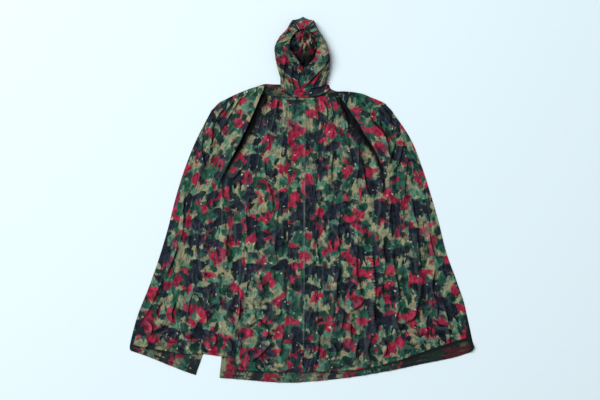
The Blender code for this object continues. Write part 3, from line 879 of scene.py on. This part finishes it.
def front_surface(front, seam_x, seed, limp):
    """Underside of a front, with its loft, ridges, creases and big fold."""
    sections = front[0]
    plan = front_plan(front, seam_x)
    rows = shares(FRONT_ROWS)
    columns = np.arange(plan.shape[1])
    crest = OUTER_STEPS
    fly = crest + INNER_STEPS
    outer = columns <= crest

    # Creases run down the cloth and fan out with it.
    past_fold = (columns - crest) / (fly - crest)
    share = np.where(
        outer, columns / crest * FOLD_SHARE, FOLD_SHARE + past_fold * (1 - FOLD_SHARE)
    )
    across, along = np.meshgrid(share * FRONT_WIDTH, rows * FRONT_LENGTH)
    bent = across + 26 * drift(across / 150, along / 210, seed + 50)
    crumples = np.zeros(bent.shape)
    for number, (rise, wide, long, slant_x, slant_y) in enumerate(CRUMPLES):
        x, y = (bent + along * slant_x) / wide, (along + bent * slant_y) / long
        crumples += rise * pinches(x, y, seed + 10 * number)
    crumples += 2.5 * drift(bent / 90, along / 260, seed + 40)

    from_side = ease(columns / crest / SIDE_REACH)
    near_fly = 1 - (1 - FLY_LOOSENESS) * ease((columns - fly + 4) / 5)
    top = ease(rows / SHOULDER_REACH)
    top = SHOULDER_LOOSENESS + (1 - SHOULDER_LOOSENESS) * top
    hem = HEM_LOOSENESS + (1 - HEM_LOOSENESS) * ease((1 - rows) / HEM_REACH)
    loose = from_side * near_fly * (top * hem)[:, None]
    creased, lean_over, shade = crease_shapes(plan, CREASES)
    height = FRONT_LOFT + RIDGE_SHARE * ridge_heights(plan, RIDGES)
    height = height + limp * crumples + creased
    height = np.maximum(height * loose, 0.2)
    sewn = hump(((1 - rows[:, None]) * FRONT_LENGTH - HEM_STITCH) / 4)
    gathers = 1 + 0.6 * drift(across / 15, along / 90, seed + 70)
    height = np.maximum(height - 0.9 * sewn * gathers, 0.1)
    # Painted shade along the hem stitching, where the cloth is pulled down.
    shade = np.maximum(shade, 0.35 * sewn)
    flat, plan = plan, plan + lean_over * loose[..., None]

    # The big fold climbs slowly from the side, and its lip hangs over the middle.
    rise, lean, fall = (
        blend(column, rows)[:, None] for column in np.transpose(sections)[4:7]
    )
    wave = 1 + WAVE_HEIGHT * drift(along[:, :1] / WAVE_LENGTH, 0.5, seed + 60)
    away = np.linalg.norm(flat - flat[:, crest : crest + 1], axis=2)
    climb = ease(1 - away / FOLD_OUTER_WIDTH)
    start = ease(columns / crest / FOLD_START)
    reach = np.maximum(LIP_REACH, fall * 1.1)
    gone = np.clip(away / reach, 0, 1)
    drop = ease(gone / LIP_DROP)
    back = ease((gone - LIP_DROP) / (1 - LIP_DROP))
    height += rise * wave * np.where(outer, climb * start, 1 - drop)
    pull = LIP_PULL * lean
    lip = lean * wave - pull * drop + (pull - lean * wave) * back
    to_middle = -np.sign(sections[0][0])
    plan[..., 0] += to_middle * np.where(outer, lean * wave * climb**2, lip)
    # Shade is painted in the hollow beside the lip, as dark as on the creases.
    nearer = to_middle * plan[..., 0]
    lip_only = np.where(~outer & (gone <= LIP_DROP), nearer, -1e9)
    lip_end = lip_only.max(1, keepdims=True)
    past_end = columns > lip_only.argmax(1)[:, None]
    ragged = 1 + 0.6 * drift(along / 34, across / 60, seed + 80)
    width = 5 + HOLLOW_SHADE_WIDTH * np.minimum(lean, 17) ** 2 * ragged
    from_lip = np.maximum(nearer - lip_end, 0) / width
    hollow_shade = HOLLOW_SHADE_DEPTH * hump(from_lip) * ease(lean / 9) * past_end
    return np.dstack([plan, LAYER + height, np.clip(hollow_shade, shade * loose, 1)])


def seam_pucker(length, seed):
    """Small gathers that a row of stitches pulls into the cloth."""
    return 0.5 * drift(length / 13, 0.5, seed)


def make_fronts():
    """Both fronts, their stitches, and the grid that they share for the placket."""
    left = front_surface(LEFT_FRONT, -GAP / 2, 3, 1.2)
    right = front_surface(RIGHT_FRONT, GAP / 2, 90, 1.45)[:, ::-1]
    both = [face_cloth, inside_cloth]
    pieces = [
        cloth("front_left_cloth", left, both),
        cloth("front_right_cloth", right, both, (1.7, 0.4)),
    ]
    hem = round(FRONT_ROWS * (1 - HEM_STITCH / FRONT_LENGTH))
    sewn = slice(3, -FLY_STEPS - 2)
    seams = [
        (half[hem, ::way][sewn], directions(half[..., :3])[hem, ::way][sewn])
        for half, way in ((left, 1), (right, -1))
    ]
    stitches = sew("front_stitches", seams, CLOTH)
    return pieces, stitches, np.hstack([left, right[:, 1:]])[..., :3]


def make_placket(fronts):
    """A double strip on the fronts, with a pressed ridge down its middle."""
    first = OUTER_STEPS + INNER_STEPS
    top = (CENTRE_TOP[1] - FLY_TOP_Y) / (CENTRE_TOP[1] - CENTRE_HEM[1])
    top = round(top * FRONT_ROWS)
    end = round(FLY_END_FRACTION * (FRONT_ROWS - 1)) + 1
    under = fronts[top:end, first : first + 2 * FLY_STEPS + 1]
    surface = under + directions(under) * LAYER
    across = np.linspace(-1, 1, under.shape[1])[None, :]
    along = lie_lengths(under, 0)
    surface[..., 2] += FLY_RIDGE * np.exp(0.3 - np.sqrt((across / 0.09) ** 2 + 0.09))
    surface[..., 2] += 1.5 * pinches(across * 2.1 + 7, along / 90, 210)
    surface[..., 2] -= 0.7 * hump((abs(across) - FLY_STITCH) / 0.06)
    surface[..., 2] += seam_pucker(along, 220) * ease(abs(across))
    # Its ridge is paler in places, worn and with a painted highlight, and painted shade
    # lies along its stitches.
    ridge_wear_and_sheen = np.maximum(1 - abs(across) * FLY_STEPS, 0)
    ridge_wear_and_sheen = ridge_wear_and_sheen * (0.5 + 0.5 * drift(along / 60, 0.5, 230)) * ease(along / 500)
    stitch_shade = 0.5 * np.maximum(1 - abs(abs(across) - FLY_STITCH) * FLY_STEPS, 0)
    shaded = np.dstack([surface, stitch_shade - ridge_wear_and_sheen])
    strip = cloth("placket_cloth", shaded, [double_cloth], (3.1, 1.9))
    up = directions(surface)
    seams = [(surface[2:-2, column], up[2:-2, column]) for column in (2, -3)]
    seams.append((surface[-4, 3:-3], up[-4, 3:-3]))
    return strip, sew("placket_stitches", seams, CLOTH)


# ---- back panel


def below_fronts(x, y):
    """How far each point is below the hem of the fronts."""
    left, right = (
        [sections[-1][0:2], *outer_hem, sections[-1][2:4], *inner_hem]
        for sections, _, _, outer_hem, inner_hem in (LEFT_FRONT, RIGHT_FRONT)
    )
    hem = np.array([*left, CENTRE_HEM, *right[::-1]], float)
    return np.interp(x, hem[:, 0], hem[:, 1]) - y


def back_height(plan):
    """Ripples of the back panel where the fronts don't hold it down."""
    x, y = plan[..., 0], plan[..., 1]
    bare = ease((below_fronts(x, y) - 4) / 30)
    ripples = 4.5 * pinches(x / 62, y / 90, 300, 2.2)
    ripples += 2.0 * pinches(x / 24, y / 60, 310)
    ripples += 1.2 * (1 + drift(x / 50, y / 70, 320))
    curl = 9 * hump((x - 716) / 14) * ease((-600 - y) / 14)
    # Above the fronts it is bunched beside the neck, in folds along the neck line.
    neck = ease((y - 446) / 8) * ease((482 - y) / 8)
    neck *= ease((190 - abs(x)) / 20)
    bunches = 7 * pinches(x / 44, (y + x * 0.2) / 13, 330, 2.2)
    bunches += 3 * pinches(x / 20, (y - x * 0.3) / 9, 340)
    return bare * (ripples + curl) + neck * bunches


def back_shade(plan):
    """How dark the bare strips of the back panel are.  Below the fronts: a painted
    shadow under their hem, and darker towards the right corner, deepest at it, partly
    the duller inside face and partly painted shade.  Above them: painted shade, deepest
    where the big folds start."""
    x, y = plan[..., 0], plan[..., 1]
    # Darker towards the right corner and deepest at it: the duller inside face, and
    # painted shade.
    below = 0.66 * ease((x - 380) / 80) + 0.3 * hump((x - 712) / 16)
    # A painted shadow just below the hem of the fronts.
    below += 0.6 * hump(below_fronts(x, y) / (7 + 6 * ease(x / 400)))
    # Painted shade in the bunched cloth beside the neck, deepest where the big folds
    # start.
    folds = hump((x + 192) / 30) + hump((x - 172) / 24)
    patches = 0.6 + 0.6 * drift(x / 30, y / 12, 350)
    above = np.clip(1.2 * folds + patches, 0, 1) * ease((y - 430) / 8)
    return np.where(y > 0, above, below)


def make_back():
    """The back panel, in two bays that part at the vent."""
    rows = shares(BACK_ROWS)
    part = np.hypot(*np.subtract(VENT_TOP, VENT_TIP))
    ends = (BACK_LEFT_HEM[-1], BACK_RIGHT_HEM[0])
    length = part + np.hypot(*np.subtract(ends[1], VENT_TIP))
    down = np.clip(rows * length / part, 0, 1)[:, None]
    split = rows[np.argmax(down == 1)]
    above = np.array(VENT_TOP) * (1 - down) + np.array(VENT_TIP) * down
    lower = np.clip((rows - split) / (1 - split), 0, 1)[:, None]
    vent = [above + lower * np.subtract(end, VENT_TIP) for end in ends]

    left_side, right_side = (
        smooth_line([*(section[0:2] for section in sections), corner], rows)
        for sections, corner in (
            (LEFT_SECTIONS, BACK_LEFT_HEM[0]),
            (RIGHT_SECTIONS[:-1], BACK_RIGHT_HEM[-1]),
        )
    )
    narrow, wide = (
        shares(columns) for columns in (BACK_LEFT_COLUMNS, BACK_RIGHT_COLUMNS)
    )
    right_top = (*BACK_NECK, *RIGHT_SHOULDER[::-1])
    plans = (
        bay(left_side, vent[0], LEFT_SHOULDER, BACK_LEFT_HEM[1:-1], narrow, rows),
        bay(vent[1], right_side, right_top, BACK_RIGHT_HEM[1:-1], wide, rows),
    )
    both = [inside_cloth, face_cloth]
    halves = []
    for plan in plans:
        surface = np.dstack([plan, back_height(plan), back_shade(plan)])
        halves.append(cloth("back_panel_cloth", surface, both, (5.3, 2.2), 1.0, plan))
    whole = bmesh.new()
    for half in halves:
        whole.from_mesh(half.data)
    bmesh.ops.remove_doubles(whole, verts=whole.verts, dist=0.05 * MM)
    whole.to_mesh(halves[0].data)
    whole.free()
    bpy.data.objects.remove(halves[1], do_unlink=True)
    return halves[0]


def make_turning(name, hem):
    """Double turned hem along the lower edge of the back panel."""
    columns = int(abs(hem[-1][0] - hem[0][0]) / HEM_TURNING_STEP)
    line = smooth_line(hem, shares(columns))
    inward = run_and_side(line)[1]
    reaches = np.linspace(HEM_TURNING, 0.5, HEM_TURNING_ROWS)
    plan = np.stack([line + inward * reach for reach in reaches])
    seat = back_height(plan) + HEM_TURNING_LIFT
    edge = np.linspace(1, -1, HEM_TURNING_ROWS)[:, None]
    length = np.linspace(0, columns * HEM_TURNING_STEP, columns)[None, :]
    seat += 0.9 * (1 - edge**2) + 0.5 * seam_pucker(length, 400) * (1 + edge)
    surface = np.dstack([plan, seat, back_shade(plan)])
    turning = cloth(name + "_cloth", surface, [inside_cloth], (5.31, 2.22), 0.9, plan)
    seam = (surface[1, 1:-1], directions(surface[..., :3])[1, 1:-1])
    return turning, sew(name + "_stitches", [seam], 0.9)


# ---- hood


def hood_surface(sections, side, seed):
    """Outer side of one half of the hood, and the direction into the hood."""
    along = shares(HOOD_ROWS)
    columns = [blend(column, along) for column in np.transpose(sections)]
    seam_y, seam_z, side_x, side_y = columns[:4]
    seam_x = np.full(HOOD_ROWS, HOOD_SEAM_X + side * GAP / 2)
    under_x = seam_x + (side_x - seam_x) * HOOD_UNDER_SHARE
    under_y = seam_y + (side_y - seam_y) * HOOD_UNDER_SLOPE
    lines = [(seam_x, seam_y, seam_z), (under_x, under_y, seam_z)]
    lines += [columns[first : first + 3] for first in (2, 5, 8, 11)]
    guides = np.stack([np.column_stack(line) for line in lines], axis=1)
    across = shares(HOOD_COLUMNS)
    surface = np.stack([smooth_line(row, across) for row in guides])
    surface[..., 2] = np.maximum(surface[..., 2], 0)
    inward = directions(surface) * -side
    inward[:, 0, 0] = 0
    inward = unit(inward)

    # The cloth at the back of the hood lies in folds that both halves share.
    x, y, z = surface[..., 0], surface[..., 1], surface[..., 2]
    low = ease((9 - z) / 7) * ease((abs(y - 620) - 120) / -50)
    folds = 16 * pinches(x / 26 + y / 120, y / 34, 500, 2.2)
    folds += 9 * pinches(x / 15 - y / 60, y / 21, 510)
    heap = 24 * hump((x - 5) / 55) * ease((y - 600) / 60)
    high = ease((z - 4) / 10)
    length, width = lie_lengths(surface, 0), lie_lengths(surface, 1)
    creases = 5.5 * pinches(width / 32, length / 95, seed)
    creases += 4.0 * pinches(width / 17 + length / 80, length / 40, seed + 10)
    near_seam = ease(width / 12)
    ends = ease_ends(along, 0.05, 0.1)[:, None]
    move = low * (folds + heap) + high * creases * near_seam * ends
    placed, lean, shade = crease_shapes(surface[..., :2], HOOD_CREASES)
    upper = ease(-inward[..., 2] * 1.5) * ends
    move -= placed * upper
    surface = surface + inward * move[..., None]
    surface[..., :2] += lean * upper[..., None]
    # Shade is painted deep in the hood: under the chin, and between the folds above
    # that, with wear and painted sheen on the crests of those folds.
    between = low * np.clip(0.42 - folds / 7, -0.4, 0.75) * ease((y - 590) / 40)
    deep = ease((16 - z) / 10) * ease((655 - y) / 80)
    deep *= ease((y - 500) / 30)
    return np.dstack([surface, np.maximum(shade * upper + between, deep)]), inward


def make_hood(name, sections, side, seed, shift):
    """One half of the hood, the hem turned along its face edge, and its stitches."""
    surface, inward = hood_surface(sections, side, seed)
    down = lie_lengths(surface[..., :3], 0).mean(axis=1)[:, None]
    spread = calm(lie_lengths(surface[..., :3], 1), 8)
    print_on = np.dstack([spread * side, 0 * spread - down])
    outward = -inward[HOOD_EDGE]
    hem = surface[HOOD_EDGE].copy()
    hem[..., :3] += outward * HOOD_EDGE_LIFT
    seam = (hem[:, 2], outward[:, 2])
    # The columns of the right half run the other way, so that its normals agree.
    surface, hem, print_on, print_on_hem = (
        grid[:, ::-side] for grid in (surface, hem, print_on, print_on[HOOD_EDGE])
    )
    both = [hood_lining, face_cloth]
    half = cloth(name + "_cloth", surface, both, shift, CLOTH, print_on)
    edge = cloth(name + "_edge", hem, [double_cloth], shift, 0.9, print_on_hem)
    return half, edge, sew(name + "_stitches", [seam], 0.2)


def make_neck_band():
    """Bound seam between the hood and the body, a narrow arc over both."""
    arc = smooth_line(NECK_ARC, shares(90))
    across = run_and_side(arc)[1]
    surface = np.stack([arc] * BAND_LINES)
    for line, share in zip(surface, np.linspace(0.5, -0.5, BAND_LINES)):
        line[:, :2] += across * BAND_WIDTH * share
        line[:, 2] += BAND_RISE * (1 - (2 * share) ** 2)
    band = cloth("neck_band_cloth", surface, [double_cloth], (7.7, 3.3), BAND_WALL)
    middle = BAND_LINES // 2
    seam = (surface[middle], directions(surface)[middle])
    return band, sew("neck_band_stitches", [seam], BAND_WALL)


# ---- the cape

face_cloth = printed_nylon("printed nylon", 0, 0.52)
inside_cloth = printed_nylon("inside of the nylon", 0.3, 0.62)
double_cloth = printed_nylon("double nylon", 0.05, 0.5)
hood_lining = printed_nylon("inside of the hood", 0.04, 0.65)

thread_finish = plain_finish("sewing thread", (70, 72, 56), 0.6, 0.001, 0.0001)

(front_left, front_right), front_seams, fronts = make_fronts()
placket, placket_seams = make_placket(fronts)
back = make_back()
hem_left, hem_left_seam = make_turning("back_hem_left", BACK_LEFT_HEM)
hem_right, hem_right_seam = make_turning("back_hem_right", BACK_RIGHT_HEM)
hood_left, edge_left, edge_left_seam = make_hood(
    "hood_left", LEFT_HOOD, -1, 600, (9.1, 4.4)
)
hood_right, edge_right, edge_right_seam = make_hood(
    "hood_right", RIGHT_HOOD, 1, 640, (11.3, 6.1)
)
neck_band, neck_seam = make_neck_band()

for piece, node, slot in (
    (front_left, "front_left", "face_cloth"),
    (front_right, "front_right", "face_cloth"),
    (placket, "placket", "double_cloth"),
    (back, "back_panel", "inside_cloth"),
    (hem_left, "back_hem_left", "inside_cloth"),
    (hem_right, "back_hem_right", "inside_cloth"),
    (hood_left, "hood_left", "face_cloth"),
    (hood_right, "hood_right", "face_cloth"),
    (neck_band, "neck_band", "double_cloth"),
    (edge_left, None, "double_cloth"),
    (edge_right, None, "double_cloth"),
):
    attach(piece, "root")
    if node:
        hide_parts(node)
seams = (front_seams, placket_seams, hem_left_seam, hem_right_seam)
for seam in (*seams, edge_left_seam, edge_right_seam, neck_seam):
    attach(seam, "root")

# ---- floor, light, camera

# Places and sizes here are in metres.
FLOOR_REACH = 30
FLOOR_COLOUR = (236, 246, 250)
KEY_PLACE = (-5.2, 3.9, 9.4)
KEY_WIDTH = 7.0
KEY_POWER = 1240
KEY_COLOUR = (0.94, 0.99, 1.0)
SKY_COLOUR = (0.82, 0.92, 1.0, 1)
SKY_STRENGTH = 0.37
VIEW_HEIGHT = 4.2
VIEW_WIDTH = 2.52
SENSOR_WIDTH = 36

floor = put_in_scene("floor", flat_mesh("floor", 1, 1, FLOOR_REACH))
floor.location.z = -0.5 * MM
floor.data.materials.append(plain_finish("pale floor", FLOOR_COLOUR, 0.9, 0.02, 0.0002))

light = bpy.data.lights.new("key light", "AREA")
light.size = KEY_WIDTH
light.energy = KEY_POWER
light.color = KEY_COLOUR
lamp = put_in_scene("key light", light)
lamp.location = KEY_PLACE
lamp.rotation_euler = Vector(KEY_PLACE).to_track_quat("Z", "Y").to_euler()

world = bpy.data.worlds.new("studio")
bpy.context.scene.world = world
world.use_nodes = True
sky = world.node_tree.nodes["Background"]
sky.inputs["Color"].default_value = SKY_COLOUR
sky.inputs["Strength"].default_value = SKY_STRENGTH

camera = put_in_scene("camera", bpy.data.cameras.new("camera"))
camera.data.lens = SENSOR_WIDTH * VIEW_HEIGHT / VIEW_WIDTH
camera.location = (-0.0084, -0.001, VIEW_HEIGHT)
bpy.context.scene.camera = camera
bpy.context.scene.view_settings.view_transform = "Standard"
